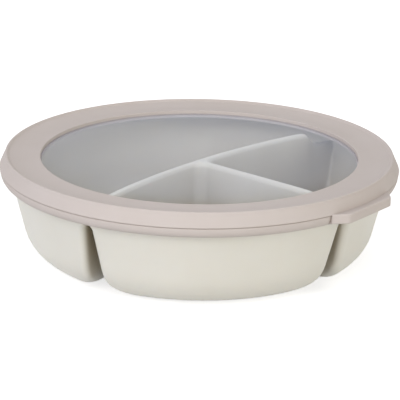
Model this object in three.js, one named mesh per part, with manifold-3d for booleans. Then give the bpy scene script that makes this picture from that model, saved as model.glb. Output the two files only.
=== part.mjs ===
// Round lunch bowl with three compartments and a lid: a clear window in a soft rim with a pull tab.
// Millimetres, +Z up. The origin is the centre of the underside, and -Y is the front.
import * as THREE from 'three';
import { mergeVertices } from 'three/addons/utils/BufferGeometryUtils.js';
import Module from 'manifold-3d';

// Bowl
const bowlHeight = 50.3;          // underside to the top of the rim
const rimDiameter = 195.2;        // outside of the rim, which the lid's skirt slips over
const rimWall = 2.0;              // wall of the rim
const rimBand = 6.8;              // height of the upright band below the top of the rim
const rimStep = 0.6;              // the wall starts this far inside the band
const rimBlend = 2.4;             // height of the slope from the wall out to the band
const rimEdge = 0.6;              // rounding of the rim's top edges
const rimLedge = 0.1;             // least step from the compartments' walls out to the rim's bore
const wall = 1.7;                 // wall of the pods and the dividers
const wallDraft = 14.2;           // lean of the outside wall, degrees
const bottomCorner = 21.3;        // outside radius from wall to underside
const sideCorner = 10;            // outside radius from a divider's wall to the underside
const uprightEdge = 4;            // outside radius of a pod's upright edges
const footEdge = 9;               // the same radius at the underside
const insideCorner = 6;           // radius of the upright corners inside a compartment

// Dividers: a gently bowed main wall across the bowl and a straight stem that meets it in the middle
const mainAzimuth = 48.5;         // direction of the main divider at the middle, degrees from +X
const dividerBow = 400;           // plan radius of the main divider, which bows away from the stem
const dividerDrop = 0.4;          // ridges lie this far below the rim
const ridgeWidth = 4.6;           // width of a divider near its ridge
const ridgeRound = 2.3;           // height of the rounded ridge
const dividerDraft = 5.5;         // lean of a divider's walls, degrees
const grooveDrop = 2.5;           // the hollow inside the dividers ends this far below the band
const grooveRound = 2.5;          // height of the rounded top of that hollow
const scoopInset = 18.3;          // each ridge ends this far inside the rim's bore
const scoopLength = 8.7;          // length of the hollow curve from there down to the divider's low end

// Lid
const skirtThickness = 1.4;       // skirt at its lower edge
const skirtDepth = 13.35;         // crest of the lip to the skirt's lower edge
const beadProud = 3.2;            // the bead stands this far out of the skirt's lower edge
const beadDepth = 7.4;            // crest of the lip to the widest line of the bead
const beadCrown = 0.7;            // height of the bead's rounded top
const bandInset = 0.9;            // the upright band starts this far inside the bead
const lipInset = 3.55;            // crest of the raised lip, inside the bead
const lipRound = 0.8;             // rounding from the crest to the band
const lipWidth = 1.9;             // crest to the valley inside it
const ringHollow = 1.1;           // depth of that valley
const ringWidth = 17.35;          // crest to the window's opening
const ringDip = 1.7;              // fall from the crest to the ring's inner edge
const ringEdge = 0.6;             // thickness of the ring where it laps the window
const windowLap = 4;              // the ring laps this far over the window's edge
const windowThickness = 1.5;
const ribWidth = 1.9;             // sealing rib, which plugs the rim from inside
const ribDepth = 4.4;
const softEdge = 0.5;             // chamfer on the soft rim's edges

// Pull tab
const tabAzimuth = -37.2;         // degrees from +X
const tabReach = 3.7;             // how far the tab stands out of the bead
const tabWidth = 36;              // along its outer edge
const tabSplay = 6;               // each end slants out by this to the root
const tabThickness = 4.8;
const tabRounding = 0.7;

// Clearances
const lidClearance = 0.3;         // lid to rim, all round
const bondGap = 0.1;              // window edge to the ring moulded round it
const ribClearance = 0.4;         // sealing rib to the dividers' low ends, at least
const tabGap = 0.3;               // tab to bead, at the bending line

// Facets
const roundFacets = 72;           // round a full turn
const arcFacets = 5;              // along a large quarter round
const closeFacets = 3;            // along the rounded top of a divider
const edgeFacets = 2;             // along a small round
const quarterPodPoints = 42;      // round a small pod's outline
const halfPodPoints = 52;         // round the large pod's outline
const outlineRays = 480;          // rays that find an outline before it is thinned
const outlineHalvings = 26;       // halvings of the search along a ray
const longStep = 20;              // a stretch this long, or a turn of this many degrees,
const turnStep = 12;              // takes one point of an outline
const hubShare = 0.6;             // a pod's rays start at this share of the underside's radius
const overlap = 0.5;              // joined solids run this far into each other
const sliver = 0.05;              // least half gap between two pods that close up
const weldTolerance = 1e-4;

const wasm = await Module();
wasm.setup();

const radians = THREE.MathUtils.degToRad;
const steps = (count) => Array.from({ length: count + 1 }, (_, i) => i / count);

// Levels and radii that several pieces share
const rimRadius = rimDiameter / 2;
const rimInner = rimRadius - rimWall;
const bandLow = bowlHeight - rimBand;
const ridgeLevel = bowlHeight - dividerDrop;
const grooveRise = bandLow - grooveDrop;
const ringUnder = bowlHeight + lidClearance;
const windowTop = ringUnder + windowThickness;
const ringInnerTop = windowTop + bondGap + ringEdge;
const lidTop = ringInnerTop + ringDip;
const skirtLevel = lidTop - skirtDepth;
const beadLevel = lidTop - beadDepth;
const skirtInner = rimRadius + lidClearance;
const skirtOuter = skirtInner + skirtThickness;
const beadRadius = skirtOuter + beadProud;
const lipRadius = beadRadius - lipInset;
const ribOuter = rimInner - lidClearance;
const ribInner = ribOuter - ribWidth;
const ribLevel = ringUnder - ribDepth;
const endLevel = Math.min(grooveRise + wall, ribLevel - ribClearance);
const openingRadius = lipRadius - ringWidth;
const windowRadius = openingRadius + windowLap;

// A quarter ellipse of points from one corner point to another, leaving the first along X
function roundCorner(x0, y0, x1, y1, facets) {
  return steps(facets).map((t) => {
    const turn = t * Math.PI / 2;
    return [x0 + (x1 - x0) * Math.sin(turn), y0 + (y1 - y0) * (1 - Math.cos(turn))];
  });
}

// A solid of revolution about Z from [radius, height] pairs that run anticlockwise
function revolve(profile) {
  const points = profile.map(([radius, height]) => new THREE.Vector2(radius, height));
  return new THREE.LatheGeometry(points, roundFacets).rotateX(Math.PI / 2);
}

function toSolid(geometry) {
  const bare = geometry.clone();
  bare.deleteAttribute('normal');
  bare.deleteAttribute('uv');
  const merged = mergeVertices(bare, weldTolerance);
  const mesh = new wasm.Mesh({
    numProp: 3,
    vertProperties: new Float32Array(merged.attributes.position.array),
    triVerts: new Uint32Array(merged.index.array),
  });
  return new wasm.Manifold(mesh);
}

function toGeometry(solid) {
  const mesh = solid.getMesh();
  const geometry = new THREE.BufferGeometry();
  geometry.setAttribute('position', new THREE.BufferAttribute(mesh.vertProperties, 3));
  geometry.setIndex(new THREE.BufferAttribute(mesh.triVerts, 1));
  geometry.computeVertexNormals();
  return geometry;
}

// Outside wall of the bowl, moved in by inset: a leaning line above a corner round
function wallRadius(height, inset) {
  const lean = radians(wallDraft);
  const lineAt = (z) => rimRadius - rimStep - (bandLow - z) * Math.tan(lean);
  const tangentHeight = bottomCorner - (bottomCorner - inset) * Math.sin(lean);
  if (height >= tangentHeight) return lineAt(height) - inset / Math.cos(lean);
  const cornerCentre = lineAt(bottomCorner) - bottomCorner / Math.cos(lean);
  const drop = Math.min(bottomCorner - height, bottomCorner - inset);
  return cornerCentre + Math.sqrt((bottomCorner - inset) ** 2 - drop ** 2);
}

// Half width of a divider between two compartments, without its rounded ridge
function dividerHalf(height) {
  return ridgeWidth / 2 + (ridgeLevel - height) * Math.tan(radians(dividerDraft));
}

// How far a round of the given radius pulls a wall in at a height above the floor it meets
function floorRound(height, radius) {
  if (height >= radius) return 0;
  return radius - Math.sqrt(radius ** 2 - (radius - Math.max(height, 0)) ** 2);
}

// Falls from 1 to 0 along a quarter circle over the last stretch below a top
function closeUp(height, top, stretch) {
  const rise = THREE.MathUtils.clamp((height - top + stretch) / stretch, 0, 1);
  return Math.sqrt(1 - rise ** 2);
}

// Plan shape of the pods. The main divider is an arc through the middle, and the stem a straight wall.
const stemAzimuth = radians(mainAzimuth - 90);
const stem = new THREE.Vector2(Math.cos(stemAzimuth), Math.sin(stemAzimuth));
const bowCentre = stem.clone().multiplyScalar(dividerBow);

// Front, right and back pod: its turn from the stem, the side of the stem it lies on, its outline's points
const pods = [
  { hubTurn: -Math.PI / 4, stemSide: -1, points: Math.round(quarterPodPoints) },
  { hubTurn: Math.PI / 4, stemSide: 1, points: Math.round(quarterPodPoints) },
  { hubTurn: Math.PI, stemSide: 0, points: Math.round(halfPodPoints) },
];

function podHub(pod) {
  const turn = stemAzimuth + pod.hubTurn;
  const reach = wallRadius(0, 0) * hubShare;
  return new THREE.Vector2(Math.cos(turn), Math.sin(turn)).multiplyScalar(reach);
}

// Distance outside a pod's section: an outer radius, a half gap to each divider's middle, round corners
function podDistance(pod, point, section) {
  const fromBow = point.distanceTo(bowCentre);
  const sides = [point.length() - section.radius];
  if (pod.stemSide === 0) {
    sides.push(dividerBow + section.gap - fromBow);
  } else {
    sides.push(fromBow - dividerBow + section.gap);
    sides.push(section.gap - pod.stemSide * stem.cross(point));
  }
  const pushed = sides.map((distance) => distance + section.corner);
  const beyond = Math.hypot(...pushed.map((distance) => Math.max(distance, 0)));
  return Math.min(Math.max(...pushed), 0) + beyond - section.corner;
}

// Outline of a section as an even spread of points, closer together where it turns
function podOutline(pod, section) {
  const hub = podHub(pod);
  const dense = steps(outlineRays).map((share) => {
    const turn = stemAzimuth + pod.hubTurn + share * 2 * Math.PI;
    const ray = new THREE.Vector2(Math.cos(turn), Math.sin(turn));
    let near = 0;
    let far = 2 * beadRadius;
    for (let i = 0; i < outlineHalvings; i += 1) {
      const middle = (near + far) / 2;
      if (podDistance(pod, hub.clone().addScaledVector(ray, middle), section) < 0) near = middle;
      else far = middle;
    }
    return hub.clone().addScaledVector(ray, near);
  });
  const travelled = [0];
  for (let i = 1; i <= outlineRays; i += 1) {
    const before = dense[i].clone().sub(dense[i - 1]);
    const after = dense[i % outlineRays + 1].clone().sub(dense[i % outlineRays]);
    const turn = Math.abs(Math.atan2(before.cross(after), before.dot(after)));
    travelled.push(travelled[i - 1] + before.length() / longStep + turn / radians(turnStep));
  }
  const outline = [];
  let next = 1;
  for (let i = 0; i < pod.points; i += 1) {
    const goal = travelled[outlineRays] * i / pod.points;
    while (travelled[next] < goal) next += 1;
    const share = (goal - travelled[next - 1]) / (travelled[next] - travelled[next - 1]);
    outline.push(dense[next - 1].clone().lerp(dense[next], share));
  }
  return outline;
}

// A closed solid through outlines at rising levels
function loftPod(pod, sections) {
  const hub = podHub(pod);
  const count = pod.points;
  const positions = [];
  const index = [];
  for (const section of sections) {
    for (const point of podOutline(pod, section)) positions.push(point.x, point.y, section.level);
  }
  const lowHub = positions.length / 3;
  positions.push(hub.x, hub.y, sections[0].level, hub.x, hub.y, sections.at(-1).level);
  const topRing = (sections.length - 1) * count;
  for (let i = 0; i < count; i += 1) {
    const j = (i + 1) % count;
    index.push(lowHub, j, i, lowHub + 1, topRing + i, topRing + j);
    for (let ring = 0; ring < topRing; ring += count) {
      index.push(ring + i, ring + j, ring + count + j, ring + i, ring + count + j, ring + count + i);
    }
  }
  const geometry = new THREE.BufferGeometry();
  geometry.setAttribute('position', new THREE.Float32BufferAttribute(positions, 3));
  geometry.setIndex(index);
  return geometry;
}

// Levels that follow a round up from a floor, or the rounded top of a divider, in even turns
function roundLevels(floor, radius) {
  return steps(arcFacets).map((t) => floor + radius * (1 - Math.cos(t * Math.PI / 2)));
}

function closeLevels(top, stretch) {
  return steps(closeFacets).map((t) => top - stretch * (1 - Math.sin(t * Math.PI / 2)));
}

const rising = (levels) => levels.sort((low, high) => low - high);

// Outside of a pod, from the underside to the top of the hollow dividers
function podOutside(pod) {
  const levels = rising([...roundLevels(0, bottomCorner), ...closeLevels(grooveRise, grooveRound)]);
  const sections = levels.map((level) => {
    const closing = closeUp(level, grooveRise, grooveRound);
    const footShare = Math.max(0, 1 - level / sideCorner) ** 2;
    const edge = uprightEdge + (footEdge - uprightEdge) * footShare;
    const gap = (dividerHalf(level) - wall) * closing + floorRound(level, sideCorner);
    return {
      level,
      radius: wallRadius(level, 0),
      gap: Math.max(gap, sliver),
      corner: Math.max(edge * closing, sliver),
    };
  });
  const last = sections.at(-1);
  return loftPod(pod, [...sections, { ...last, level: grooveRise + overlap }]);
}

// Inside of the outside wall, which stays just within the rim's bore
function boreRadius(height) {
  return Math.min(wallRadius(height, wall), rimInner - rimLedge);
}

// Inside of a compartment, from its floor to the ridges of the dividers
function podInside(pod) {
  const cornerLevels = roundLevels(wall, bottomCorner - wall);
  const levels = rising([...cornerLevels, endLevel, ribLevel, ...closeLevels(ridgeLevel, ridgeRound)]);
  const sections = levels.map((level) => {
    const closing = closeUp(level, ridgeLevel, ridgeRound);
    const gap = dividerHalf(level) * closing + floorRound(level - wall, sideCorner - wall);
    return { level, radius: boreRadius(level), gap: Math.max(gap, sliver), corner: insideCorner };
  });
  const last = sections.at(-1);
  return loftPod(pod, [...sections, { ...last, level: ridgeLevel + overlap }]);
}

// The solid band above the pods that carries the rim, before the compartments are hollowed out
function bowlDeck() {
  return revolve([
    [0, grooveRise],
    [wallRadius(grooveRise, 0), grooveRise],
    [rimRadius - rimStep, bandLow],
    [rimRadius, bandLow + rimBlend],
    ...roundCorner(rimRadius - rimEdge, bowlHeight, rimRadius, bowlHeight - rimEdge, edgeFacets).reverse(),
    [0, bowlHeight],
  ]);
}

// The open space over the dividers, whose ends are scooped out below the lid's sealing rib
function headSpace() {
  const scoopTop = rimInner - scoopInset;
  const wallLevels = steps(edgeFacets).map((t) => endLevel + (ribLevel - endLevel) * t);
  return revolve([
    [0, ridgeLevel],
    ...roundCorner(scoopTop + scoopLength, endLevel, scoopTop, ridgeLevel, arcFacets).reverse(),
    ...wallLevels.map((level) => [boreRadius(level), level]),
    [rimInner, ribLevel],
    ...roundCorner(rimInner + rimEdge, bowlHeight, rimInner, bowlHeight - rimEdge, edgeFacets).reverse(),
    [rimInner + rimEdge, bowlHeight + overlap],
    [0, bowlHeight + overlap],
  ]);
}

function bowlGeometry() {
  let solid = toSolid(bowlDeck());
  for (const pod of pods) solid = solid.add(toSolid(podOutside(pod)));
  let hollow = toSolid(headSpace());
  for (const pod of pods) hollow = hollow.add(toSolid(podInside(pod)));
  return toGeometry(solid.subtract(hollow));
}

// Clear plate whose edge lies in a rabbet under the ring
function windowGeometry() {
  return revolve([[0, ringUnder], [windowRadius, ringUnder], [windowRadius, windowTop], [0, windowTop]]);
}

// Outside of the skirt from its lower edge to the bead's widest line, moved out by grow
function beadSide(grow) {
  return roundCorner(skirtOuter + grow, skirtLevel, beadRadius + grow, beadLevel, arcFacets);
}

// Soft ring: skirt and bead outside, raised lip, dished face, rabbet for the window and sealing rib
function rimGeometry() {
  const bandRadius = beadRadius - bandInset;
  const bandFoot = beadLevel + beadCrown;
  const rabbet = windowRadius + bondGap;
  const profile = [
    [skirtInner + softEdge, skirtLevel],
    ...beadSide(0),
    ...roundCorner(bandRadius, bandFoot, beadRadius, beadLevel, edgeFacets).reverse().slice(1),
    ...roundCorner(lipRadius, lidTop, lipRadius + lipRound, lidTop - lipRound, edgeFacets).reverse(),
    [lipRadius - lipWidth, lidTop - ringHollow],
    [openingRadius + softEdge, ringInnerTop],
    [openingRadius, ringInnerTop - softEdge / 2],
    [openingRadius, windowTop + bondGap],
    [rabbet, windowTop + bondGap],
    [rabbet, ringUnder],
    [ribInner, ringUnder],
    [ribInner, ribLevel + softEdge],
    [ribInner + softEdge, ribLevel],
    [ribOuter - softEdge, ribLevel],
    [ribOuter, ribLevel + softEdge],
    [ribOuter, ringUnder],
    [skirtInner, ringUnder],
    [skirtInner, skirtLevel + softEdge],
  ];
  return revolve([...profile, profile[0]]);
}

// Tab in its own frame, with X pointing out of the bowl, cut to follow the bead
function tabGeometry() {
  const tip = beadRadius + tabReach;
  const halfRoot = tabWidth / 2 + tabSplay;
  const rootX = Math.sqrt(beadRadius ** 2 - halfRoot ** 2);
  const tabUnder = beadLevel - tabThickness;
  const plan = new THREE.Shape([
    new THREE.Vector2(skirtInner, -halfRoot),
    new THREE.Vector2(rootX, -halfRoot),
    new THREE.Vector2(tip, -tabWidth / 2),
    new THREE.Vector2(tip, tabWidth / 2),
    new THREE.Vector2(rootX, halfRoot),
    new THREE.Vector2(skirtInner, halfRoot),
  ]);
  const block = new THREE.ExtrudeGeometry(plan, {
    depth: tabThickness - 2 * tabRounding,
    bevelThickness: tabRounding,
    bevelSize: tabRounding,
    bevelOffset: -tabRounding,
    bevelSegments: edgeFacets + 1,
  });
  block.translate(0, 0, tabUnder + tabRounding);
  const clearLow = Math.min(skirtLevel, tabUnder) - overlap;
  const clear = revolve([
    [0, clearLow],
    [skirtOuter + tabGap, clearLow],
    ...beadSide(tabGap),
    [beadRadius + tabGap, beadLevel + overlap],
    [0, beadLevel + overlap],
  ]);
  return toGeometry(toSolid(block).subtract(toSolid(clear)));
}

// Materials
const bowlPlastic = new THREE.MeshStandardMaterial({ color: 0xe2dfd3, roughness: 0.45, metalness: 0 });
const clearPlastic = new THREE.MeshStandardMaterial({
  color: 0xd8d8d8, roughness: 0.25, metalness: 0, transparent: true, opacity: 0.4,
});
const softPlastic = new THREE.MeshStandardMaterial({ color: 0xcfc3bd, roughness: 0.6, metalness: 0 });

function piece(name, geometry, material) {
  const mesh = new THREE.Mesh(geometry, material);
  mesh.name = name;
  return mesh;
}

const lid = new THREE.Group();
lid.add(piece('lid_rim', rimGeometry(), softPlastic));
lid.add(piece('lid_window', windowGeometry(), clearPlastic));
const tab = piece('pull_tab', tabGeometry(), softPlastic);
tab.rotation.z = radians(tabAzimuth);
lid.add(tab);

const bentoBowl = new THREE.Group();
bentoBowl.add(piece('bowl', bowlGeometry(), bowlPlastic));
bentoBowl.add(lid);

export default bentoBowl;
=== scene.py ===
"""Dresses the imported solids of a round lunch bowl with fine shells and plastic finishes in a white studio.

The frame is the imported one: metres, +Z up, the front at -Y and the origin under the middle of the bowl.
"""

import math

import bmesh
import bpy
import numpy as np
from bpy.props import FloatProperty, FloatVectorProperty, IntProperty, PointerProperty
from bpy.types import Operator, Panel, PropertyGroup
from mathutils import Matrix, Vector


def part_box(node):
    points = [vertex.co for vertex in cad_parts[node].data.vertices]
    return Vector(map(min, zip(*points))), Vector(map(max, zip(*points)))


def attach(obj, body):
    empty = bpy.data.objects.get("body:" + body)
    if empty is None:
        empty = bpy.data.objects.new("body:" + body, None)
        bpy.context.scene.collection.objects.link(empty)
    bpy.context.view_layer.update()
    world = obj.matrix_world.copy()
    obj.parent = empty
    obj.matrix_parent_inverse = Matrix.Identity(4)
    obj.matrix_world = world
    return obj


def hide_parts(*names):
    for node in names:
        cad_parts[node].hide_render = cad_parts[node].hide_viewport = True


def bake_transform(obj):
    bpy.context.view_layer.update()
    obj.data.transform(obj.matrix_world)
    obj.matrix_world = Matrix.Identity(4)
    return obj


bl_info = {
    "name": "Divided Lunch Bowl",
    "version": (1, 0, 0),
    "blender": (4, 5, 0),
    "location": "View3D > Sidebar > Lunch Bowl",
    "description": "Models a round lunch bowl with hollow dividers and a clear lid in a soft rim",
    "category": "Object",
}

MM = 0.001
WHITE = (1, 1, 1, 1)
# Width in millimetres of the camera's sensor, which the lens is given for
SENSOR = 36
# Smallest gap or radius that still gives a section a plain outline
LEAST = 0.05 * MM
# How far a solid reaches past the face that it joins or cuts
OVERLAP = 0.5 * MM
# Depth of the fine grain on a moulded face
GRAIN_DEPTH = 0.08 * MM

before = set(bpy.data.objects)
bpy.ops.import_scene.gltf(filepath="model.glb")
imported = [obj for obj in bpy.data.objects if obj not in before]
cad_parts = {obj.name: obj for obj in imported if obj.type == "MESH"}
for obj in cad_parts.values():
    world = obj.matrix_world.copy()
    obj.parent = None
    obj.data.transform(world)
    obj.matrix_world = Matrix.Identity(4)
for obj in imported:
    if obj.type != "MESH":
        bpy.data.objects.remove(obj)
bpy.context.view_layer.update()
_, bowl_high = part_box("bowl")
rim_low, rim_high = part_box("lid_rim")
window_low, window_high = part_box("lid_window")


def linear(hex_colour):
    """Turns an sRGB hex colour into linear RGBA."""
    channels = [int(hex_colour[i:i + 2], 16) / 255 for i in (1, 3, 5)]
    return [c / 12.92 if c <= 0.04045 else ((c + 0.055) / 1.055) ** 2.4 for c in channels] + [1.0]


def length(label, words, millimetres):
    """A size in metres whose default is given in millimetres."""
    return FloatProperty(name=label, description=words, default=millimetres * MM, unit="LENGTH", precision=5)


def angle(label, words, degrees):
    """An angle in radians whose default is given in degrees."""
    return FloatProperty(name=label, description=words, default=math.radians(degrees), subtype="ANGLE")


def share(label, words, value):
    """A plain number from 0 to 1."""
    return FloatProperty(name=label, description=words, default=value, min=0, max=1, subtype="FACTOR")


def level_of(label, words, value):
    """A plain number such as a lamp's power."""
    return FloatProperty(name=label, description=words, default=value, min=0)


def colour(label, words, hex_colour):
    """A colour whose default is given as sRGB hex."""
    return FloatVectorProperty(
        name=label, description=words, default=linear(hex_colour), size=4, min=0, max=1, subtype="COLOR")


def count(label, words, value):
    """A whole number of facets or points."""
    return IntProperty(name=label, description=words, default=value, min=8)


class BowlSizes(PropertyGroup):
    """Sizes and colours of the bowl"""
    height: length("Height", "Underside to the top of the rim", bowl_high.z / MM)
    rim_radius: length("Rim radius", "Outside of the rim", bowl_high.x / MM)
    rim_wall: length("Rim wall", "Thickness of the rim", 2.0)
    rim_band: length("Rim band", "Height of the upright band below the rim's top", 6.8)
    rim_step: length("Rim step", "The wall starts this far inside the band", 0.6)
    rim_blend: length("Rim blend", "Height of the slope from the wall out to the band", 2.4)
    rim_edge: length("Rim edge", "Rounding of the rim's top edges", 0.6)
    rim_plug: length("Rim plug", "Depth of the bore that the lid's sealing rib plugs", 4.1)
    wall: length("Wall", "Thickness of the pods and the dividers", 1.7)
    wall_draft: angle("Wall draft", "Lean of the outside wall", 14.2)
    bottom_corner: length("Bottom corner", "Outside radius from wall to underside", 21.3)
    side_corner: length("Side corner", "Outside radius from a divider's wall to the underside", 10.0)
    upright_edge: length("Upright edge", "Outside radius of a pod's upright edges", 4.0)
    foot_edge: length("Foot edge", "The same radius at the underside", 9.0)
    hub_corner: length("Hub corner", "Radius inside a compartment where the dividers meet", 6.0)
    wall_corner: length("Wall corner", "Radius inside a compartment where a divider meets the wall", 1.2)
    floor_corner: length("Floor corner", "The same radius at the compartment's floor", 9.0)
    floor_rise: length("Floor rise", "Height over which that corner tightens above the floor", 26.0)
    main_azimuth: angle("Main divider", "Direction of the main divider from +X", 48.5)
    divider_bow: length("Divider bow", "Plan radius of the main divider", 400.0)
    divider_drop: length("Divider drop", "The ridges lie this far below the rim", 0.4)
    ridge_width: length("Ridge width", "Width of a divider near its ridge", 4.6)
    ridge_round: length("Ridge round", "Height of the rounded ridge", 2.3)
    divider_draft: angle("Divider draft", "Lean of a divider's walls", 5.5)
    groove_drop: length("Groove drop", "The hollow dividers end this far below the band", 2.5)
    groove_round: length("Groove round", "Height of the rounded top of the hollow", 4.0)
    scoop_inset: length("Scoop inset", "Each ridge ends this far inside the rim's bore", 18.3)
    scoop_length: length("Scoop length", "Length of the hollow curve at a divider's end", 8.7)
    quarter_points: count("Quarter outline", "Points round a small pod's outline", 200)
    half_points: count("Half outline", "Points round the large pod's outline", 250)
    facets: count("Facets", "Facets of the bowl round a full turn", 256)
    tint: colour("Tint", "Colour of the bowl's plastic", "#E9E7E0")
    deep_tint: colour("Deep tint", "Colour of its faint flow clouds", "#E1DED5")
    # Painted shade: the colour that the bowl's hollows, grooves and deep corners are darkened towards
    painted_shade_tint: colour("Hollow tint", "Colour that tight hollows take on", "#A3967B")


class LidSizes(PropertyGroup):
    """Sizes and colours of the lid with its window and pull tab"""
    top: length("Top", "Crest of the raised lip", rim_high.z / MM)
    skirt_level: length("Skirt level", "Lower edge of the skirt", rim_low.z / MM + 0.7)
    skirt_inner: length("Skirt bore", "Inside radius of the skirt", 97.9)
    skirt_outer: length("Skirt radius", "Outside radius at the skirt's lower edge", 99.3)
    band_radius: length("Band radius", "Widest line, at the lower edge of the sloping band", rim_high.x / MM)
    band_depth: length("Band depth", "Crest of the lip to the band's widest line", 6.9)
    band_edge: length("Band edge", "Rounding under the band's lower edge", 0.6)
    bead_inset: length("Bead inset", "The bead under the band lies this far inside it", 0.3)
    bead_top: length("Bead top", "Height of the bead's rounded top", 0.5)
    bead_crease: length("Bead crease", "Depth of the crease between the bead and the band", 0.35)
    lip_inset: length("Lip inset", "Crest of the lip, inside the band's edge", 3.55)
    lip_round: length("Lip round", "Rounding from the crest to the band", 0.8)
    lip_width: length("Lip width", "Crest to the valley inside it", 1.9)
    ring_hollow: length("Ring hollow", "Depth of that valley", 1.1)
    ring_sag: length("Ring sag", "Dish of the ring's face", 0.55)
    ring_width: length("Ring width", "Crest to the window's opening", 17.35)
    ring_dip: length("Ring dip", "Fall from the crest to the ring's inner edge", 1.7)
    ring_under: length("Ring underside", "Level of the ring's underside", window_low.z / MM)
    window_top: length("Window top", "Level of the clear plate's face", window_high.z / MM)
    window_flat: length("Window flat", "Radius of the plate's flat middle", 55.0)
    window_sag: length("Window sag", "The plate's face curves down by this to its edge", 0.9)
    window_hollow: length("Window hollow", "The plate's underside curves down by this to its edge", 0.6)
    window_edge: length("Window edge", "Rounding of the plate's edges", 0.15)
    bond_gap: length("Bond gap", "Plate to the ring moulded round it", 0.05)
    ledge_width: length("Ledge width", "Width of the ring's ledge under the plate's edge", 0.6)
    ledge_depth: length("Ledge depth", "The ledge reaches this far below the plate", 1.4)
    hem_width: length("Hem width", "Thickness of the hem that carries the ledge", 2.4)
    rib_outer: length("Rib radius", "Outside of the sealing rib", 95.3)
    rib_width: length("Rib width", "Thickness of the sealing rib", 1.9)
    rib_depth: length("Rib depth", "Height of the sealing rib", 4.4)
    soft_edge: length("Soft edge", "Rounding of the soft rim's edges", 0.5)
    tab_azimuth: angle("Tab direction", "Middle of the pull tab from +X", -37.2)
    tab_drop: length("Tab drop", "Crest of the lip to the tab's top", 6.8)
    tab_reach: length("Tab reach", "The tab stands this far out of the band's edge", 3.7)
    tab_width: length("Tab width", "Length of the tab's outer edge", 36.0)
    tab_splay: length("Tab splay", "Each end slants out by this to the root", 6.3)
    tab_notch: length("Tab notch", "Depth of the crease in the bead at each end of the tab", 0.45)
    tab_thickness: length("Tab thickness", "Height of the tab", 5.0)
    tab_rounding: length("Tab rounding", "Rounding of the tab's edges", 0.7)
    tab_corner: length("Tab corner", "Softness of the tab's corners in plan", 0.5)
    tint: colour("Rim tint", "Colour of the soft rim", "#D3CAC7")
    deep_tint: colour("Rim deep tint", "Colour of its faint flow clouds", "#CDC3BE")
    # Painted shade: the colour that the soft rim's tight creases are darkened towards
    painted_shade_tint: colour("Rim hollow tint", "Colour that the soft rim's tight creases take on", "#8E7D73")
    # Painted reflection: at a glancing view the plate is drawn more milky in this colour, standing in for the
    # white surroundings it reflects
    haze_and_reflection_tint: colour("Window tint", "Colour of the clear plate's haze", "#C9D6F2")
    haze: share("Window haze", "How milky each face of the clear plate is, seen straight on", 0.02)
    painted_glance: share("Window glance", "How milky each face looks at a glancing view", 0.235)


class StudioSizes(PropertyGroup):
    """Camera, lamps and floor"""
    lens: level_of("Lens", "Focal length on a 36 mm sensor, in millimetres", 225.0)
    camera_x: length("Camera X", "Place of the camera across", 0.62)
    camera_y: length("Camera Y", "Place of the camera in front", -1228.22)
    camera_z: length("Camera Z", "Height of the camera", 429.54)
    camera_dip: angle("Camera dip", "How far the camera looks down", 18.095)
    camera_roll: angle("Camera roll", "Turn of the picture", 0.859)
    front_turn: angle("Front turn", "Front lamp to the left of the camera", -12.0)
    front_rise: angle("Front rise", "Front lamp above the floor", 14.0)
    front_width: length("Front width", "Width of the front lamp", 560.0)
    front_power: level_of("Front power", "Power of the front lamp in watts", 0.8)
    front_light: colour("Front light", "Colour of the front lamp", "#FFFFFF")
    high_turn: angle("High turn", "High lamp to the left of the camera", 16.0)
    high_rise: angle("High rise", "High lamp above the floor", 50.0)
    high_width: length("High width", "Width of the high lamp", 1200.0)
    high_power: level_of("High power", "Power of the high lamp in watts", 9.0)
    high_light: colour("High light", "Colour of the high lamp", "#FBFBFF")
    left_turn: angle("Left turn", "Left lamp to the left of the camera", 54.0)
    left_rise: angle("Left rise", "Left lamp above the floor", 20.0)
    left_width: length("Left width", "Width of the left lamp", 1200.0)
    left_power: level_of("Left power", "Power of the left lamp in watts", 11.8)
    left_light: colour("Left light", "Colour of the left lamp", "#FDFDFF")
    right_turn: angle("Right turn", "Right lamp to the left of the camera", -44.0)
    right_rise: angle("Right rise", "Right lamp above the floor", 12.0)
    right_width: length("Right width", "Width of the right lamp", 1200.0)
    right_power: level_of("Right power", "Power of the right lamp in watts", 12.0)
    right_light: colour("Right light", "Colour of the right lamp", "#FFFAE8")
    back_turn: angle("Back turn", "Back lamp to the left of the camera", 180.0)
    back_rise: angle("Back rise", "Back lamp above the floor", 50.0)
    back_width: length("Back width", "Width of the back lamp", 800.0)
    back_power: level_of("Back power", "Power of the back lamp in watts", 5.0)
    back_light: colour("Back light", "Colour of the back lamp", "#FFFFFF")
    lamp_distance: length("Lamp distance", "Each lamp to the bowl", 1800.0)
    world_level: level_of("World level", "Strength of the even light all round", 0.32)
    floor_width: length("Floor width", "Width of the floor", 6000.0)
    floor_gap: length("Floor gap", "The floor lies this far under the bowl", 0.2)
    floor_glow: share("Floor glow", "Share of the floor's white that no shadow takes", 0.7)
    floor_tint: colour("Floor tint", "Colour of the floor as it lights the bowl", "#DADADA")


class LunchBowl(PropertyGroup):
    """All sizes of the lunch bowl"""
    bowl: PointerProperty(type=BowlSizes)
    lid: PointerProperty(type=LidSizes)
    studio: PointerProperty(type=StudioSizes)


def spread(start, end, steps):
    """Evenly spaced points from one to another, both included."""
    return np.linspace(np.array(start, float), np.array(end, float), steps + 1)


def quarter(start, end, steps):
    """A quarter ellipse from one point to another, leaving the first along its first coordinate."""
    turn = np.linspace(0, math.pi / 2, steps + 1)
    across = start[0] + (end[0] - start[0]) * np.sin(turn)
    up = start[1] + (end[1] - start[1]) * (1 - np.cos(turn))
    return np.stack((across, up), axis=1)


def smooth(value):
    """A soft step from 0 to 1."""
    value = np.clip(value, 0, 1)
    return value * value * (3 - 2 * value)


def round_corner(first, second, radius):
    """Distance outside both of two walls that meet in a round corner, from the distance outside each."""
    pushed = np.array((first, second)) + radius
    return np.minimum(pushed.max(axis=0), 0) + np.linalg.norm(np.maximum(pushed, 0), axis=0) - radius


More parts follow.
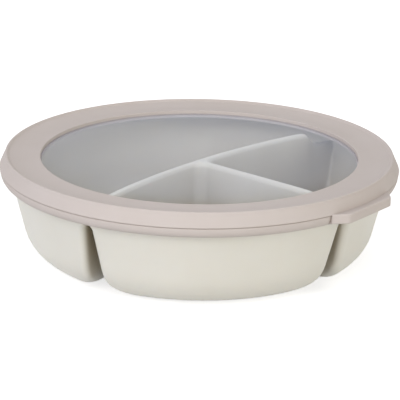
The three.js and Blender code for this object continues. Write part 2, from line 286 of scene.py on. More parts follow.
def turned(profile, turns):
    """Rings of a lathe: one ring of points for each radius and height of the profile."""
    profile = np.asarray(profile)
    radius = profile[:, None, 0]
    height = np.repeat(profile[:, None, 1], len(turns), axis=1)
    return np.stack((radius * np.cos(turns), radius * np.sin(turns), height), axis=2)


def full_turn(facets):
    """Azimuths round a full turn."""
    return np.arange(facets) * 2 * math.pi / facets


def new_piece(name, rings, closed=False):
    """A closed mesh through rings of points, with flat ends unless the last ring joins the first."""
    total, around = rings.shape[:2]
    index = np.arange(total * around).reshape(total, around)
    following = np.roll(index, -1, axis=1)
    last = total if closed else total - 1
    low, high = np.arange(last), (np.arange(last) + 1) % total
    quads = np.stack((index[low], following[low], following[high], index[high]), axis=-1).reshape(-1, 4)
    faces = quads.tolist()
    if not closed:
        faces += [index[0].tolist(), index[-1].tolist()]
    mesh = bpy.data.meshes.new(name)
    mesh.from_pydata(rings.reshape(-1, 3).tolist(), [], faces)
    piece = bpy.data.objects.new(name, mesh)
    bpy.context.scene.collection.objects.link(piece)
    clean_mesh(mesh)
    return piece


def clean_mesh(mesh, weld=2e-6):
    """Welds points that coincide, drops faces of no size and turns every face outward."""
    shape = bmesh.new()
    shape.from_mesh(mesh)
    bmesh.ops.remove_doubles(shape, verts=shape.verts, dist=weld)
    bmesh.ops.dissolve_degenerate(shape, edges=shape.edges, dist=weld / 2)
    bmesh.ops.recalc_face_normals(shape, faces=shape.faces)
    shape.to_mesh(mesh)
    shape.free()


def combine(piece, other, operation):
    """Joins another solid to a piece or cuts it out, and removes that other solid."""
    modifier = piece.modifiers.new("Combine", "BOOLEAN")
    modifier.operation = operation
    modifier.object = other
    modifier.solver = "MANIFOLD"
    depsgraph = bpy.context.evaluated_depsgraph_get()
    mesh = bpy.data.meshes.new_from_object(piece.evaluated_get(depsgraph))
    piece.modifiers.clear()
    spent = [piece.data, other.data]
    piece.data = mesh
    bpy.data.objects.remove(other)
    for old in spent:
        bpy.data.meshes.remove(old)


def dress(piece, material, crease=32):
    """Gives a finished mesh its material and smooth shading, with creases at sharp turns."""
    piece.data.materials.clear()
    piece.data.materials.append(material)
    piece.data.shade_smooth()
    piece.data.set_sharp_from_angle(angle=math.radians(crease))


class BowlShape:
    """Levels, radii and outlines of the bowl that follow from its sizes."""
    # Rays from inside a pod that find its outline, where they start and how often each search is halved
    RAYS = 1440
    RAY_START = 0.6
    HALVINGS = 36
    # One step along an outline covers about this length, turn or fall
    STEP_LENGTH = 4 * MM
    STEP_TURN = math.radians(6)
    STEP_FALL = 0.7 * MM
    # Rings of a pod up the round from its floor and up its wall, and steps of the rim's small rounds
    ROUND_LEVELS = 13
    WALL_LEVELS = 8
    EDGE_STEPS = 6
    # The wall's inside stays this far within the rim's bore
    BORE_STEP = 0.1 * MM
    # Above this level the rings of a compartment bend down with the scooped ends
    BEND_LEVEL = 12 * MM

    def __init__(self, sizes):
        self.sizes = sizes
        self.bore = sizes.rim_radius - sizes.rim_wall
        self.band_low = sizes.height - sizes.rim_band
        self.ridge = sizes.height - sizes.divider_drop
        self.groove_top = self.band_low - sizes.groove_drop
        self.low_end = self.groove_top + sizes.wall
        self.stem_turn = sizes.main_azimuth - math.pi / 2
        self.stem = np.array((math.cos(self.stem_turn), math.sin(self.stem_turn)))
        # Front, right and back pod: turn of its middle from the stem, side of the stem, points of its outline
        self.pods = (
            (-math.pi / 4, -1, sizes.quarter_points),
            (math.pi / 4, 1, sizes.quarter_points),
            (math.pi, 0, sizes.half_points),
        )

    def wall_radius(self, height, inset):
        """Outside wall moved in by inset: a leaning line above a corner round."""
        sizes = self.sizes
        lean = sizes.wall_draft
        corner = sizes.bottom_corner

        def line(level):
            return sizes.rim_radius - sizes.rim_step - (self.band_low - level) * math.tan(lean)

        if height >= corner - (corner - inset) * math.sin(lean):
            return line(height) - inset / math.cos(lean)
        centre = line(corner) - corner / math.cos(lean)
        drop = min(corner - height, corner - inset)
        return centre + math.sqrt((corner - inset) ** 2 - drop ** 2)

    def bore_radius(self, height):
        """Inside of the outside wall, which stays within the rim's bore."""
        return min(self.wall_radius(height, self.sizes.wall), self.bore - self.BORE_STEP)

    def divider_half(self, height):
        """Half width of a divider, without its rounded ridge."""
        return self.sizes.ridge_width / 2 + (self.ridge - height) * math.tan(self.sizes.divider_draft)

    def scoop_drop(self, radius):
        """How far a divider's top lies below its ridge: nothing until the hollow curve at its end."""
        sizes = self.sizes
        along = (radius - self.bore + sizes.scoop_inset) / sizes.scoop_length
        # Shares of the curve over which it leaves the ridge and begins to fall
        ease, soft = 0.1, 0.15
        along = np.minimum((along + np.hypot(along, ease)) / 2, 1)
        curve = np.sqrt(2 * along - along ** 2 + soft ** 2) - soft
        return (self.ridge - self.low_end) * curve / (math.hypot(1, soft) - soft)

    def outline(self, pod, radius, gap, hub_corner, wall_corner):
        """Points round a pod's section, closer together where it turns and at a divider's scooped end."""
        middle_turn, stem_side, points = pod
        sizes = self.sizes
        facing = self.stem_turn + middle_turn
        start = self.RAY_START * self.wall_radius(0, 0) * np.array((math.cos(facing), math.sin(facing)))
        turns = facing + np.linspace(0, 2 * math.pi, self.RAYS + 1)
        rays = np.stack((np.cos(turns), np.sin(turns)), axis=1)
        near, far = np.zeros(len(turns)), np.full(len(turns), 3 * sizes.rim_radius)
        for _ in range(self.HALVINGS):
            middle = (near + far) / 2
            place = start + rays * middle[:, None]
            from_bow = np.linalg.norm(place - sizes.divider_bow * self.stem, axis=1)
            from_wall = np.linalg.norm(place, axis=1) - radius
            if stem_side:
                across = self.stem[0] * place[:, 1] - self.stem[1] * place[:, 0]
                from_main = from_bow - sizes.divider_bow + gap
                from_sides = round_corner(from_main, gap - stem_side * across, hub_corner)
            else:
                from_sides = sizes.divider_bow + gap - from_bow
            inside = round_corner(from_wall, from_sides, wall_corner) < 0
            near, far = np.where(inside, middle, near), np.where(inside, far, middle)
        dense = start + rays * near[:, None]
        stretch = np.diff(dense, axis=0)
        heading = np.unwrap(np.arctan2(stretch[:, 1], stretch[:, 0]))
        bend = np.abs(np.diff(heading, append=heading[0] + 2 * math.pi))
        fall = np.abs(np.diff(self.scoop_drop(np.linalg.norm(dense, axis=1))))
        run = np.linalg.norm(stretch, axis=1)
        pace = run / self.STEP_LENGTH + bend / self.STEP_TURN + fall / self.STEP_FALL
        travelled = np.concatenate(((0,), np.cumsum(pace)))
        goals = np.arange(points) * travelled[-1] / points
        return np.stack([np.interp(goals, travelled, dense[:, i]) for i in range(2)], axis=1)

    def floor_round(self, height, radius):
        """How far a corner round pulls a wall in at a height above the floor it meets."""
        if height >= radius:
            return 0
        return radius - math.sqrt(radius ** 2 - (radius - max(height, 0)) ** 2)

    def close_up(self, height, top, stretch):
        """Falls from 1 to 0 along a quarter circle over the last stretch below a top."""
        rise = min(max((height - top + stretch) / stretch, 0), 1)
        return math.sqrt(1 - rise ** 2)

    def levels(self, floor, corner, top, stretch):
        """Levels that follow the round from a floor, the wall above it and the rounded top."""
        turn = np.linspace(0, math.pi / 2, self.ROUND_LEVELS)
        low = floor + corner * (1 - np.cos(turn))
        high = top - stretch * (1 - np.sin(turn[::2]))
        between = np.linspace(low[-1], high[0], self.WALL_LEVELS)[1:-1]
        return np.concatenate((low, between, high))

    def pod_outside(self, pod):
        """Rings of a pod's outside, from the underside to the top of the hollow dividers."""
        sizes = self.sizes
        rings = []
        for level in self.levels(0, sizes.bottom_corner, self.groove_top, sizes.groove_round):
            closing = self.close_up(level, self.groove_top, sizes.groove_round)
            foot = max(0, 1 - level / sizes.side_corner) ** 2
            edge = sizes.upright_edge + (sizes.foot_edge - sizes.upright_edge) * foot
            corner_pull = self.floor_round(level, sizes.side_corner)
            gap = (self.divider_half(level) - sizes.wall) * closing + corner_pull
            edge = max(edge * closing, LEAST)
            plan = self.outline(pod, self.wall_radius(level, 0), max(gap, LEAST), edge, edge)
            rings.append(np.column_stack((plan, np.full(len(plan), level))))
        rings.append(rings[-1] + (0, 0, OVERLAP))
        return np.array(rings)

    def pod_inside(self, pod):
        """Rings of a compartment; they bend down with the scooped ends of the dividers."""
        sizes = self.sizes
        full_drop = self.ridge - self.low_end
        shoulder = self.ridge - sizes.ridge_round
        rings = []
        for level in self.levels(sizes.wall, sizes.bottom_corner - sizes.wall, self.ridge, sizes.ridge_round):
            bending = float(smooth((level - self.BEND_LEVEL) / (shoulder - self.BEND_LEVEL)))
            closing = self.close_up(level, self.ridge, sizes.ridge_round)
            corner_pull = self.floor_round(level - sizes.wall, sizes.side_corner - sizes.wall)
            gap = self.divider_half(level) * closing + corner_pull
            radius = self.bore_radius(level - full_drop * bending)
            depth = max(0, 1 - (level - sizes.wall) / sizes.floor_rise)
            corner = sizes.wall_corner + (sizes.floor_corner - sizes.wall_corner) * float(smooth(depth))
            plan = self.outline(pod, radius, max(gap, LEAST), max(sizes.hub_corner, corner), corner)
            drop = self.scoop_drop(np.linalg.norm(plan, axis=1)) * bending
            rings.append(np.column_stack((plan, level - drop)))
        top = rings[-1].copy()
        top[:, 2] = sizes.height + OVERLAP
        return np.array(rings + [top])

    def deck(self):
        """Rings of the solid band above the pods that carries the rim."""
        sizes = self.sizes
        outer, edge = sizes.rim_radius, sizes.rim_edge
        profile = np.concatenate((
            [(self.wall_radius(self.groove_top, 0), self.groove_top)],
            [(outer - sizes.rim_step, self.band_low), (outer, self.band_low + sizes.rim_blend)],
            quarter((outer - edge, sizes.height), (outer, sizes.height - edge), self.EDGE_STEPS)[::-1],
        ))
        return turned(profile, full_turn(sizes.facets))

    def head_space(self):
        """Rings of the open space over the dividers, down to a flat just under their ridges' crests."""
        sizes = self.sizes
        land = 0.15 * MM
        flat_end, run_up = 3 * MM, 2.5 * MM
        flat_rings, scoop_rings, wall_rings = 5, 30, 4
        wall_radius = self.bore_radius(self.low_end - land)
        reach = np.concatenate((
            np.linspace(1 / flat_rings, 1, flat_rings) * (self.bore - sizes.scoop_inset - flat_end),
            self.bore - sizes.scoop_inset + np.linspace(-run_up, sizes.scoop_length, scoop_rings),
            [wall_radius],
        ))
        edge, top = sizes.rim_edge, sizes.height
        plug = top - sizes.rim_plug
        rise = np.linspace(self.low_end, plug, wall_rings)
        profile = np.concatenate((
            np.column_stack((reach, self.ridge - land - self.scoop_drop(reach))),
            [(self.bore_radius(level), level) for level in rise],
            [(self.bore, plug)],
            quarter((self.bore + edge, top), (self.bore, top - edge), self.EDGE_STEPS)[::-1],
            [(self.bore + edge, top + OVERLAP)],
        ))
        return turned(profile, full_turn(sizes.facets))


class LidShape:
    """Profiles of the lid's rim, pull tab and window that follow from its sizes."""
    # Points along the rim's profile: below the tab, up the bead, along the slopes and round the edges
    SKIRT_POINTS = 7
    BEAD_POINTS = 14
    BAND_STEPS = 6
    CREST_STEPS = 8
    LIP_STEPS = 10
    FACE_STEPS = 16
    EDGE_STEPS = 5
    SMALL_STEPS = 4
    # Points up the tab's outer face
    TIP_POINTS = 6
    # Facets along the tab's middle and round the rest of the rim, with finer ones at the tab's ends
    TAB_FACETS = 33
    RIM_FACETS = 269
    FINE_TURN = math.radians(0.1)
    # Rings and facets of the clear plate
    PLATE_RINGS = 25
    PLATE_FACETS = 192

    def __init__(self, sizes):
        self.sizes = sizes
        self.lip_radius = sizes.band_radius - sizes.lip_inset
        self.opening = self.lip_radius - sizes.ring_width
        self.band_level = sizes.top - sizes.band_depth
        self.crease_level = self.band_level - sizes.band_edge
        self.bead_level = self.crease_level - sizes.bead_top
        self.bead_radius = sizes.band_radius - sizes.bead_inset
        self.lip_foot = (self.lip_radius + sizes.lip_round, sizes.top - sizes.lip_round)
        self.tab_top = sizes.top - sizes.tab_drop
        self.tab_under = self.tab_top - sizes.tab_thickness

    def bead_side(self, turn):
        """Radius and height along the rounded outside of the skirt, up to the bead's widest line."""
        sizes = self.sizes
        radius = sizes.skirt_outer + (self.bead_radius - sizes.skirt_outer) * np.sin(turn)
        height = sizes.skirt_level + (self.bead_level - sizes.skirt_level) * (1 - np.cos(turn))
        return np.stack((radius, height), axis=-1)

    def side_turn(self, height):
        """The turn at which the rounded outside reaches a height."""
        rise = (height - self.sizes.skirt_level) / (self.bead_level - self.sizes.skirt_level)
        return np.arccos(1 - np.clip(rise, 0, 1))

    def band_at(self, height):
        """Radius and height of a point on the sloping band."""
        slope = (self.lip_foot[0] - self.sizes.band_radius) / (self.lip_foot[1] - self.band_level)
        return (self.sizes.band_radius + slope * (height - self.band_level), height)

    def rim_side(self, start_turn):
        """Rim profile from the bead over the crease and the band's edge up to the level of the tab's top."""
        sizes = self.sizes
        crease = (self.bead_radius - sizes.bead_crease, self.crease_level)
        edge = (sizes.band_radius, self.band_level)
        return np.concatenate((
            self.bead_side(np.linspace(start_turn, math.pi / 2, self.BEAD_POINTS)),
            quarter(crease, (self.bead_radius, self.bead_level), self.EDGE_STEPS)[::-1][1:],
            quarter(crease, edge, self.EDGE_STEPS)[1:],
            [self.band_at(self.tab_top)],
        ))

    def tab_edge(self, turns):
        """Distance from the axis to the tab's outline at azimuths measured from its middle."""
        sizes = self.sizes
        tip = sizes.band_radius + sizes.tab_reach
        half = sizes.tab_width / 2
        root_half = half + sizes.tab_splay
        root = math.sqrt(sizes.band_radius ** 2 - root_half ** 2)
        across = np.abs(np.sin(turns))
        front = tip / np.cos(turns)
        fall = (tip - root) / sizes.tab_splay
        slant = (tip + fall * half) / (np.cos(turns) + fall * across)
        side = root_half / np.maximum(across, 1e-6)
        soft = sizes.tab_corner
        blunt = -soft * np.logaddexp(-front / soft, -slant / soft)
        return np.minimum(blunt, side)

    def rim(self):
        """Rings of the soft rim: its profile all round, pushed out to the tab's outline where the tab is."""
        sizes = self.sizes
        root_turn = math.asin((sizes.tab_width / 2 + sizes.tab_splay) / sizes.band_radius)
        corner_turn = math.asin(sizes.tab_width / 2 / sizes.band_radius)
        fine = self.FINE_TURN
        before, beyond = 8 * fine, 10 * fine
        ends = np.arange(corner_turn - before, root_turn + beyond, fine)
        middle = np.linspace(-ends[0], ends[0], self.TAB_FACETS + 1)[1:-1]
        away = np.linspace(ends[-1], 2 * math.pi - ends[-1], self.RIM_FACETS + 1)[1:-1]
        from_tab = np.concatenate((-ends[::-1], middle, ends, away))
        turns = from_tab + sizes.tab_azimuth

        start_turn = float(self.side_turn(self.tab_under))
        rounding = sizes.tab_rounding
        plain = self.rim_side(start_turn)
        around = np.where(np.cos(from_tab) > 0, self.tab_edge(from_tab), 0)
        tip = np.maximum(around, sizes.band_radius)[None, :] - rounding
        low, high = self.tab_under + rounding, self.tab_top - rounding
        first, last = plain[0, 0], plain[-1, 0]
        # Shares of the way out to the tip under the tab and back over it
        # The tab's side has as many points as the plain side, so that both share the same rings
        way_out, way_back = np.array((0, 0.35, 0.7)), np.array((0.75, 0.5, 0.25, 0))
        corner = np.linspace(0, math.pi / 2, self.EDGE_STEPS + 1)[:, None]
        radius = np.concatenate((
            first + (tip - first) * way_out[:, None],
            tip + rounding * np.sin(corner),
            np.repeat(tip + rounding, self.TIP_POINTS, axis=0),
            tip + rounding * np.cos(corner),
            last + (tip - last) * way_back[:, None],
        ))
        height = np.concatenate((
            np.full(len(way_out), self.tab_under),
            low - rounding * np.cos(corner[:, 0]),
            np.linspace(low, high, self.TIP_POINTS + 2)[1:-1],
            high + rounding * np.sin(corner[:, 0]),
            np.full(len(way_back), self.tab_top),
        ))
        bead = self.bead_side(self.side_turn(height))[:, 0]
        bead[-1] = last
        is_tab = (around > sizes.band_radius)[None, :]
        # The bead is creased where each end of the tab grows out of it
        past_root = np.minimum(np.abs(from_tab), 2 * math.pi - np.abs(from_tab)) - root_turn
        notch = sizes.tab_notch * (1 - smooth(past_root / before))
        plain_radius = plain[:, :1] - np.where(plain[:, 1:] < self.crease_level, notch[None, :], 0)
        side_radius = np.where(is_tab, np.maximum(radius, bead[:, None]), plain_radius)
        side_height = np.where(is_tab, height[:, None], plain[:, 1:])
        side = np.stack((side_radius * np.cos(turns), side_radius * np.sin(turns), side_height), axis=2)

        below = self.bead_side(np.linspace(0, start_turn, self.SKIRT_POINTS))[:-1]
        return np.concatenate((turned(below, turns), side, turned(self.rim_top(), turns)))

    def rim_top(self):
        """Rim profile up the band, over the lip and the ring's face, and underneath to the skirt's edge."""
        sizes = self.sizes
        soft = sizes.soft_edge
        inner_top = sizes.top - sizes.ring_dip
        valley = (self.lip_radius - sizes.lip_width, sizes.top - sizes.ring_hollow)
        inner = (self.opening + soft, inner_top)
        bed = sizes.ring_under - sizes.bond_gap
        ledge = self.opening - sizes.ledge_width
        hem_level = sizes.ring_under - sizes.ledge_depth
        hem_outer = ledge + sizes.hem_width
        rib_inner = sizes.rib_outer - sizes.rib_width
        rib_level = sizes.ring_under - sizes.rib_depth
        small = self.SMALL_STEPS
        fall = np.linspace(0, 1, self.LIP_STEPS + 1)
        lip = np.column_stack((
            self.lip_radius - sizes.lip_width * fall, sizes.top - sizes.ring_hollow * smooth(fall)))
        face = spread(valley, inner, self.FACE_STEPS)
        face[:, 1] -= sizes.ring_sag * np.sin(np.linspace(0, math.pi, self.FACE_STEPS + 1))
        bore, skirt_foot = sizes.skirt_inner, sizes.skirt_level + soft
        return np.concatenate((
            spread(self.band_at(self.tab_top), self.lip_foot, self.BAND_STEPS)[1:-1],
            quarter((self.lip_radius, sizes.top), self.lip_foot, self.CREST_STEPS)[::-1],
            lip[1:],
            face[1:],
            quarter(inner, (self.opening, inner_top - soft / 2), self.EDGE_STEPS)[1:],
            [(self.opening, bed), (ledge, bed), (ledge, hem_level), (hem_outer, hem_level)],
            [(hem_outer, sizes.ring_under), (rib_inner, sizes.ring_under)],
            quarter((rib_inner + soft, rib_level), (rib_inner, rib_level + soft), small)[::-1],
            quarter((sizes.rib_outer - soft, rib_level), (sizes.rib_outer, rib_level + soft), small),
            [(sizes.rib_outer, sizes.ring_under), (bore, sizes.ring_under)],
            quarter((bore + soft, sizes.skirt_level), (bore, skirt_foot), small)[::-1],
        ))

    def window(self):
        """Rings of the clear plate: flat in the middle, curved down to its edge like a shallow pillow."""
        sizes = self.sizes
        edge, radius = sizes.window_edge, self.opening - sizes.bond_gap
        small = self.SMALL_STEPS
        reach = np.linspace(sizes.window_flat, radius - edge, self.PLATE_RINGS)
        curve = np.linspace(0, 1, self.PLATE_RINGS) ** 3
        under = np.column_stack((reach, sizes.ring_under + sizes.window_hollow * (1 - curve)))
        over = np.column_stack((reach, sizes.window_top - sizes.window_sag * curve))
        low, high = under[-1, 1], over[-1, 1]
        profile = np.concatenate((
            under,
            quarter((radius - edge, low), (radius, low + edge), small)[1:],
            quarter((radius - edge, high), (radius, high - edge), small)[:0:-1],
            over[::-1],
        ))
        return turned(profile, full_turn(self.PLATE_FACETS))


def add_node(tree, kind, settings=(), links=()):
    """Adds a node, sets its options and sockets, and links other nodes' outputs to its sockets."""
    node = tree.nodes.new(kind)
    for key, value in dict(settings).items():
        if isinstance(key, str) and hasattr(node, key):
            setattr(node, key, value)
        else:
            node.inputs[key].default_value = value
    for key, output in dict(links).items():
        tree.links.new(output, node.inputs[key])
    return node


def new_material(name):
    """An empty node material with its output, and the object coordinates that patterns follow."""
    material = bpy.data.materials.new(name)
    material.use_nodes = True
    tree = material.node_tree
    tree.nodes.clear()
    output = add_node(tree, "ShaderNodeOutputMaterial")
    place = add_node(tree, "ShaderNodeTexCoord").outputs["Object"]
    return material, tree, output, place


def moulded_face(tree, place, sizes, grain, clouds, hollow, open_from, gloss, bump):
    """Colour, roughness and relief that moulded plastics share: a fine grain, flow clouds and painted shade
    in hollows.

    The clouds' width and the painted shade's reach are in metres. A hollow has its full painted shade at
    open_from, where it sees that share of open air, and the roughness runs between the two values of gloss
    with the grain.
    """
    pits = add_node(tree, "ShaderNodeTexNoise", grain, {"Vector": place}).outputs["Fac"]
    drift = add_node(tree, "ShaderNodeTexNoise", {"Scale": 1 / clouds, "Detail": 3.0}, {"Vector": place})
    # Sockets 6 and 7 of a colour mix are its two colours
    tint = add_node(tree, "ShaderNodeMix", {"data_type": "RGBA", 6: sizes.tint, 7: sizes.deep_tint},
                    {0: drift.outputs["Fac"]})
    # Painted shade: the less open air a hollow sees, the more its colour is darkened towards the shade tint
    open_air = add_node(tree, "ShaderNodeAmbientOcclusion",
                        {"samples": 8, "only_local": True, "Distance": hollow})
    openness = add_node(tree, "ShaderNodeMapRange", {"From Min": open_from, "From Max": 0.95},
                        {"Value": open_air.outputs["AO"]})
    tint = add_node(tree, "ShaderNodeMix", {"data_type": "RGBA", 6: sizes.painted_shade_tint},
                    {0: openness.outputs["Result"], 7: tint.outputs[2]})
    dullness = add_node(tree, "ShaderNodeMapRange", {"To Min": gloss[0], "To Max": gloss[1]}, {"Value": pits})
    relief = add_node(tree, "ShaderNodeBump", {"Strength": bump, "Distance": GRAIN_DEPTH}, {"Height": pits})
    return {
        "Base Color": tint.outputs[2],
        "Roughness": dullness.outputs["Result"],
        "Normal": relief.outputs["Normal"],
    }


def moulded_pp(sizes):
    """Injection-moulded polypropylene from a spark-eroded mould.

    It gives a matte, waxy face with a fine grain, faint flow clouds, a little light inside the wall, and
    painted shade in its hollows and deep compartments.
    """
    material, tree, output, place = new_material("moulded polypropylene")
    # The real grain is about 0.1 mm, too fine to show, so it is drawn at 0.6 mm
    # Painted shade: within 60 mm the grooves, corners and deep compartments are drawn darker
    face = moulded_face(
        tree, place, sizes, grain={"Scale": 1 / (0.6 * MM), "Detail": 3.0, "Roughness": 0.6},
        clouds=28 * MM, hollow=60 * MM, open_from=0.08, gloss=(0.42, 0.58), bump=0.12)
    shader = add_node(
        tree, "ShaderNodeBsdfPrincipled",
        {"IOR": 1.49, "Subsurface Weight": 0.15,
         "Subsurface Radius": (1.0, 0.8, 0.55), "Subsurface Scale": 2 * MM},
        face)
    tree.links.new(shader.outputs["BSDF"], output.inputs["Surface"])
    return material


def moulded_tpe(sizes):
    """Moulded thermoplastic elastomer, a soft rubbery plastic.

    It gives a dull, velvety face with a fine pitted grain, almost no highlight, and painted shade in its
    creases.
    """
    material, tree, output, place = new_material("moulded elastomer")
    # The real pits are under 0.1 mm, too fine to show, so they are drawn at 0.5 mm
    # Painted shade: within 15 mm the rim's tight creases are drawn darker
    face = moulded_face(
        tree, place, sizes, grain={"Scale": 1 / (0.5 * MM), "Detail": 4.0, "Roughness": 0.65},
        clouds=22 * MM, hollow=15 * MM, open_from=0.15, gloss=(0.6, 0.75), bump=0.15)
    shader = add_node(tree, "ShaderNodeBsdfPrincipled", {"IOR": 1.47, "Specular IOR Level": 0.15}, face)
    tree.links.new(shader.outputs["BSDF"], output.inputs["Surface"])
    return material


def clear_pp(sizes):
    """Clarified polypropylene, moulded against a polished face.

    It gives a see-through plate with a faint milky haze that drifts with the flow, and a painted reflection:
    a pale sheen at a glancing view, drawn as more milky haze.
    """
    material, tree, output, place = new_material("clarified polypropylene")
    flow = add_node(
        tree, "ShaderNodeTexNoise", {"Scale": 1 / (35 * MM), "Detail": 2.0}, {"Vector": place}).outputs["Fac"]
    # Painted reflection: a polished face throws back more of the white surroundings the more it is seen
    # edge-on, so the plate is drawn more milky there
    facing = add_node(tree, "ShaderNodeLayerWeight", {"Blend": 0.5})
    sheen = add_node(
        tree, "ShaderNodeMapRange",
        {"From Min": 0.6, "From Max": 0.78, "To Min": sizes.haze, "To Max": sizes.painted_glance},
        {"Value": facing.outputs["Facing"]})
    cloud = add_node(tree, "ShaderNodeMapRange", {"To Min": 0.9, "To Max": 1.1}, {"Value": flow})
    haze = add_node(tree, "ShaderNodeMath", {"operation": "MULTIPLY"},
                    {0: sheen.outputs["Result"], 1: cloud.outputs["Result"]})
    ripple = add_node(tree, "ShaderNodeMapRange", {"To Min": 0.12, "To Max": 0.2}, {"Value": flow})
    shader = add_node(
        tree, "ShaderNodeBsdfPrincipled", {"Base Color": sizes.haze_and_reflection_tint, "IOR": 1.49},
        {"Alpha": haze.outputs["Value"], "Roughness": ripple.outputs["Result"]})
    tree.links.new(shader.outputs["BSDF"], output.inputs["Surface"])
    return material


class LUNCHBOWL_OT_studio(Operator):
    """Set up the camera, the lamps, the world and the floor"""
    bl_idname = "lunch_bowl.studio"
    bl_label = "Studio"

    def execute(self, context):
        sizes = context.scene.lunch_bowl.studio
        self.place_camera(context.scene, sizes)
        for name in ("front", "high", "left", "right", "back"):
            self.place_lamp(context.scene, sizes, name)
        self.light_world(context.scene, sizes)
        self.lay_floor(context.scene, sizes)
        context.scene.view_settings.view_transform = "Standard"
        return {"FINISHED"}

    def place_camera(self, scene, sizes):
        """Places the camera in front of the bowl, looking down at it."""
        data = bpy.data.cameras.new("camera")
        data.sensor_width = SENSOR
        data.lens = sizes.lens
        camera = bpy.data.objects.new("camera", data)
        dip = sizes.camera_dip
        right = Vector((1, 0, 0))
        up = Vector((0, math.sin(dip), math.cos(dip)))
        back = Vector((0, -math.cos(dip), math.sin(dip)))
        aim = Matrix((right, up, back)).transposed() @ Matrix.Rotation(sizes.camera_roll, 3, "Z")
        place = Matrix.Translation((sizes.camera_x, sizes.camera_y, sizes.camera_z))
        camera.matrix_world = place @ aim.to_4x4()
        scene.collection.objects.link(camera)
        scene.camera = camera

    def place_lamp(self, scene, sizes, name):
        """Places one square lamp that faces the bowl."""
        parts = ("turn", "rise", "width", "power", "light")
        turn, rise, width, power, light = (getattr(sizes, f"{name}_{part}") for part in parts)
        data = bpy.data.lights.new(name, "AREA")
        data.size = width
        data.energy = power
        data.color = light[:3]
        lamp = bpy.data.objects.new(name, data)
        towards = Vector((-math.sin(turn) * math.cos(rise), -math.cos(turn) * math.cos(rise), math.sin(rise)))
        lamp.location = towards * sizes.lamp_distance
        lamp.rotation_euler = towards.to_track_quat("Z", "Y").to_euler()
        scene.collection.objects.link(lamp)

    def seen_rays(self, tree):
        """1 for rays that see the background, straight or in a gloss or clear plate, and 0 for light."""
        path = add_node(tree, "ShaderNodeLightPath").outputs
        seen = add_node(tree, "ShaderNodeMath", {"operation": "MAXIMUM"},
                        {0: path["Is Camera Ray"], 1: path["Is Glossy Ray"]})
        return add_node(tree, "ShaderNodeMath", {"operation": "MAXIMUM"},
                        {0: seen.outputs[0], 1: path["Is Transmission Ray"]}).outputs[0]

    def light_world(self, scene, sizes):
        """Gives the world an even light, seen as white."""
        scene.world = bpy.data.worlds.new("studio")
        scene.world.use_nodes = True
        tree = scene.world.node_tree
        tree.nodes.clear()
        even = add_node(tree, "ShaderNodeBackground", {"Strength": sizes.world_level, "Color": WHITE})
        white = add_node(tree, "ShaderNodeBackground", {"Strength": 1.0, "Color": WHITE})
        both = add_node(tree, "ShaderNodeMixShader", (), {
            0: self.seen_rays(tree), 1: even.outputs[0], 2: white.outputs[0]})
        add_node(tree, "ShaderNodeOutputWorld", (), {"Surface": both.outputs[0]})

    def lay_floor(self, scene, sizes):
        """Lays a floor that is seen as white and keeps the bowl's shadow."""
        material, tree, output, _ = new_material("white floor")
        lit = add_node(tree, "ShaderNodeBsdfDiffuse", {"Color": sizes.floor_tint})
        glow = add_node(tree, "ShaderNodeEmission", {"Strength": sizes.floor_glow})
        shade = add_node(tree, "ShaderNodeAddShader", (), {0: lit.outputs[0], 1: glow.outputs[0]})
        both = add_node(tree, "ShaderNodeMixShader", (), {
            0: self.seen_rays(tree), 1: lit.outputs[0], 2: shade.outputs[0]})
        tree.links.new(both.outputs[0], output.inputs["Surface"])
        half = sizes.floor_width / 2
        mesh = bpy.data.meshes.new("floor")
        corners = [(-half, -half, 0), (half, -half, 0), (half, half, 0), (-half, half, 0)]
        mesh.from_pydata(corners, [], [(0, 1, 2, 3)])
        mesh.materials.append(material)
        floor = bpy.data.objects.new("floor", mesh)
        floor.location.z = -sizes.floor_gap
        scene.collection.objects.link(floor)


class LUNCHBOWL_OT_bowl(Operator):
    """Build the bowl: three pods under one rim, hollowed out into compartments"""
    bl_idname = "lunch_bowl.bowl"
    bl_label = "Bowl"

    def execute(self, context):
        sizes = context.scene.lunch_bowl.bowl
        shape = BowlShape(sizes)
        piece = new_piece("bowl_shell", shape.deck())
        for pod in shape.pods:
            combine(piece, new_piece("pod", shape.pod_outside(pod)), "UNION")
        combine(piece, new_piece("head_space", shape.head_space()), "DIFFERENCE")
        for pod in shape.pods:
            combine(piece, new_piece("compartment", shape.pod_inside(pod)), "DIFFERENCE")
        clean_mesh(piece.data)
        dress(piece, moulded_pp(sizes))
        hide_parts("bowl")
        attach(piece, "bowl")
        return {"FINISHED"}


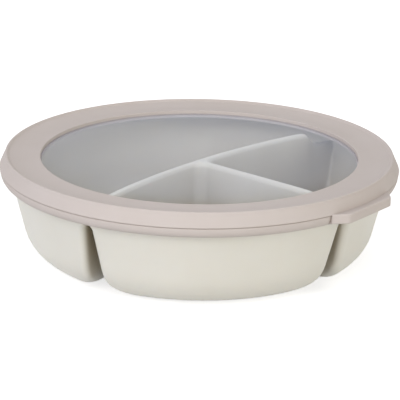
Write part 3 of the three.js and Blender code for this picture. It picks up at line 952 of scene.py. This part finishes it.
class LUNCHBOWL_OT_rim(Operator):
    """Build the lid's soft rim in one with the pull tab"""
    bl_idname = "lunch_bowl.rim"
    bl_label = "Soft rim"

    def execute(self, context):
        sizes = context.scene.lunch_bowl.lid
        piece = new_piece("soft_rim", LidShape(sizes).rim(), closed=True)
        dress(piece, moulded_tpe(sizes))
        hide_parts("lid_rim", "pull_tab")
        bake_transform(piece)
        return {"FINISHED"}


class LUNCHBOWL_OT_window(Operator):
    """Build the lid's clear window"""
    bl_idname = "lunch_bowl.window"
    bl_label = "Window"

    def execute(self, context):
        sizes = context.scene.lunch_bowl.lid
        piece = new_piece("clear_window", LidShape(sizes).window())
        dress(piece, clear_pp(sizes))
        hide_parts("lid_window")
        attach(piece, "lid")
        return {"FINISHED"}


class LUNCHBOWL_PT_panel(Panel):
    """Sizes of the lunch bowl and the buttons that build its pieces"""
    bl_label = "Lunch Bowl"
    bl_idname = "LUNCHBOWL_PT_panel"
    bl_space_type = "VIEW_3D"
    bl_region_type = "UI"
    bl_category = "Lunch Bowl"

    def draw(self, context):
        groups = context.scene.lunch_bowl
        for group, operators in (
            (groups.studio, (LUNCHBOWL_OT_studio,)),
            (groups.bowl, (LUNCHBOWL_OT_bowl,)),
            (groups.lid, (LUNCHBOWL_OT_rim, LUNCHBOWL_OT_window)),
        ):
            box = self.layout.box()
            for operator in operators:
                box.operator(operator.bl_idname)
            for name in group.bl_rna.properties.keys():
                if name not in ("name", "rna_type"):
                    box.prop(group, name)


CLASSES = (
    BowlSizes, LidSizes, StudioSizes, LunchBowl,
    LUNCHBOWL_OT_studio, LUNCHBOWL_OT_bowl, LUNCHBOWL_OT_rim, LUNCHBOWL_OT_window,
    LUNCHBOWL_PT_panel,
)


def register():
    """Registers the classes and puts the sizes on the scene."""
    for cls in CLASSES:
        bpy.utils.register_class(cls)
    bpy.types.Scene.lunch_bowl = PointerProperty(type=LunchBowl)


def unregister():
    """Takes the sizes off the scene and removes the classes."""
    del bpy.types.Scene.lunch_bowl
    for cls in reversed(CLASSES):
        bpy.utils.unregister_class(cls)


def main():
    """Builds the studio and the three pieces."""
    register()
    bpy.ops.lunch_bowl.studio()
    bpy.ops.lunch_bowl.bowl()
    bpy.ops.lunch_bowl.rim()
    bpy.ops.lunch_bowl.window()


if __name__ == "__main__":
    main()
